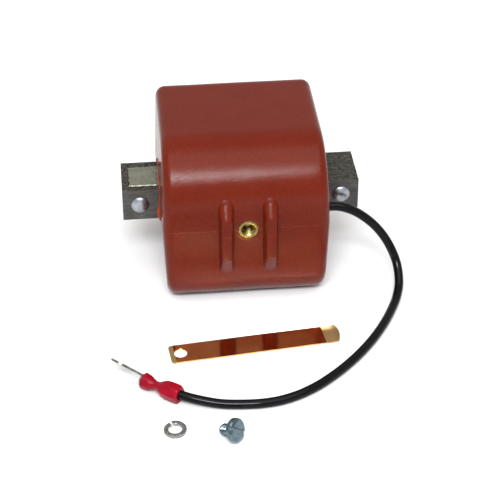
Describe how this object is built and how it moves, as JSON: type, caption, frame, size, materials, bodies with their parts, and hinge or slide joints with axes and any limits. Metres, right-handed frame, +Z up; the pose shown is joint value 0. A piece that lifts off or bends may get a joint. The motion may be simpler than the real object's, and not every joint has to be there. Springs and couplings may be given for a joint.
{
  "type": "ignition coil",
  "caption": "Magneto ignition coil: laminated core through a moulded housing with strip ribs and brass insert, a lead with ring terminal, loose strip, lock washer and screw.",
  "frame": {"origin": "on the flat underside of the housing, straight below the middle of the core", "axes": "+X along the core towards the end where the lead leaves, -Y out of the ribbed front face with the insert, +Z up"},
  "size_m": [0.1055, 0.1349, 0.0589],
  "materials": {
    "housing": "satin moulded, fine orange-peel",
    "lamination": "sheared and oiled",
    "rivet": "bright",
    "foil": "tinned, dull",
    "form": "matt",
    "copper": "enamelled wire",
    "paper": "matt",
    "brass": "machined",
    "jacket": "glossy",
    "sleeve": "soft gloss",
    "tinned": "tin plated",
    "bronze": "polished strip",
    "zinc": "bright zinc plated"
  },
  "bodies": {
    "coil": {"moulded_housing": "housing", "core_lamination_01": "lamination", "core_lamination_02": "lamination", "core_lamination_03": "lamination", "core_lamination_04": "lamination", "core_lamination_05": "lamination", "core_lamination_06": "lamination", "core_lamination_07": "lamination", "core_lamination_08": "lamination", "core_lamination_09": "lamination", "core_lamination_10": "lamination", "core_lamination_11": "lamination", "core_lamination_12": "lamination", "core_lamination_13": "lamination", "core_lamination_14": "lamination", "core_lamination_15": "lamination", "core_lamination_16": "lamination", "core_lamination_17": "lamination", "core_lamination_18": "lamination", "core_lamination_19": "lamination", "core_lamination_20": "lamination", "core_lamination_21": "lamination", "core_lamination_22": "lamination", "core_lamination_23": "lamination", "core_lamination_24": "lamination", "core_rivet_left": "rivet", "core_rivet_right": "rivet", "ground_foil": "foil", "coil_form": "form", "primary_winding": "copper", "interwinding_insulation": "paper", "secondary_winding": "copper", "outer_insulation_wrap": "paper", "primary_start_wire": "copper", "secondary_start_wire": "copper", "primary_end_wire": "copper", "high_voltage_wire": "copper", "high_voltage_insert": "brass", "lead_tail": "jacket", "lead_inner_strands": "copper", "splice_ferrule": "brass", "primary_lead": "jacket", "terminal_sleeve": "sleeve", "ring_terminal": "tinned", "terminal_strands": "copper"},
    "strip": {"contact_strip": "bronze"},
    "washer": {"lock_washer": "zinc"},
    "screw": {"contact_screw": "zinc"}
  },
  "joints": [
    {"name": "strip_lift", "type": "slide", "parent": "coil", "child": "strip", "axis": [0, 0, 1], "range_m": [0, 0.06]},
    {"name": "washer_lift", "type": "slide", "parent": "coil", "child": "washer", "axis": [0, 0, 1], "range_m": [0, 0.06]},
    {"name": "screw_lift", "type": "slide", "parent": "coil", "child": "screw", "axis": [0, 0, 1], "range_m": [0, 0.06]}
  ]
}
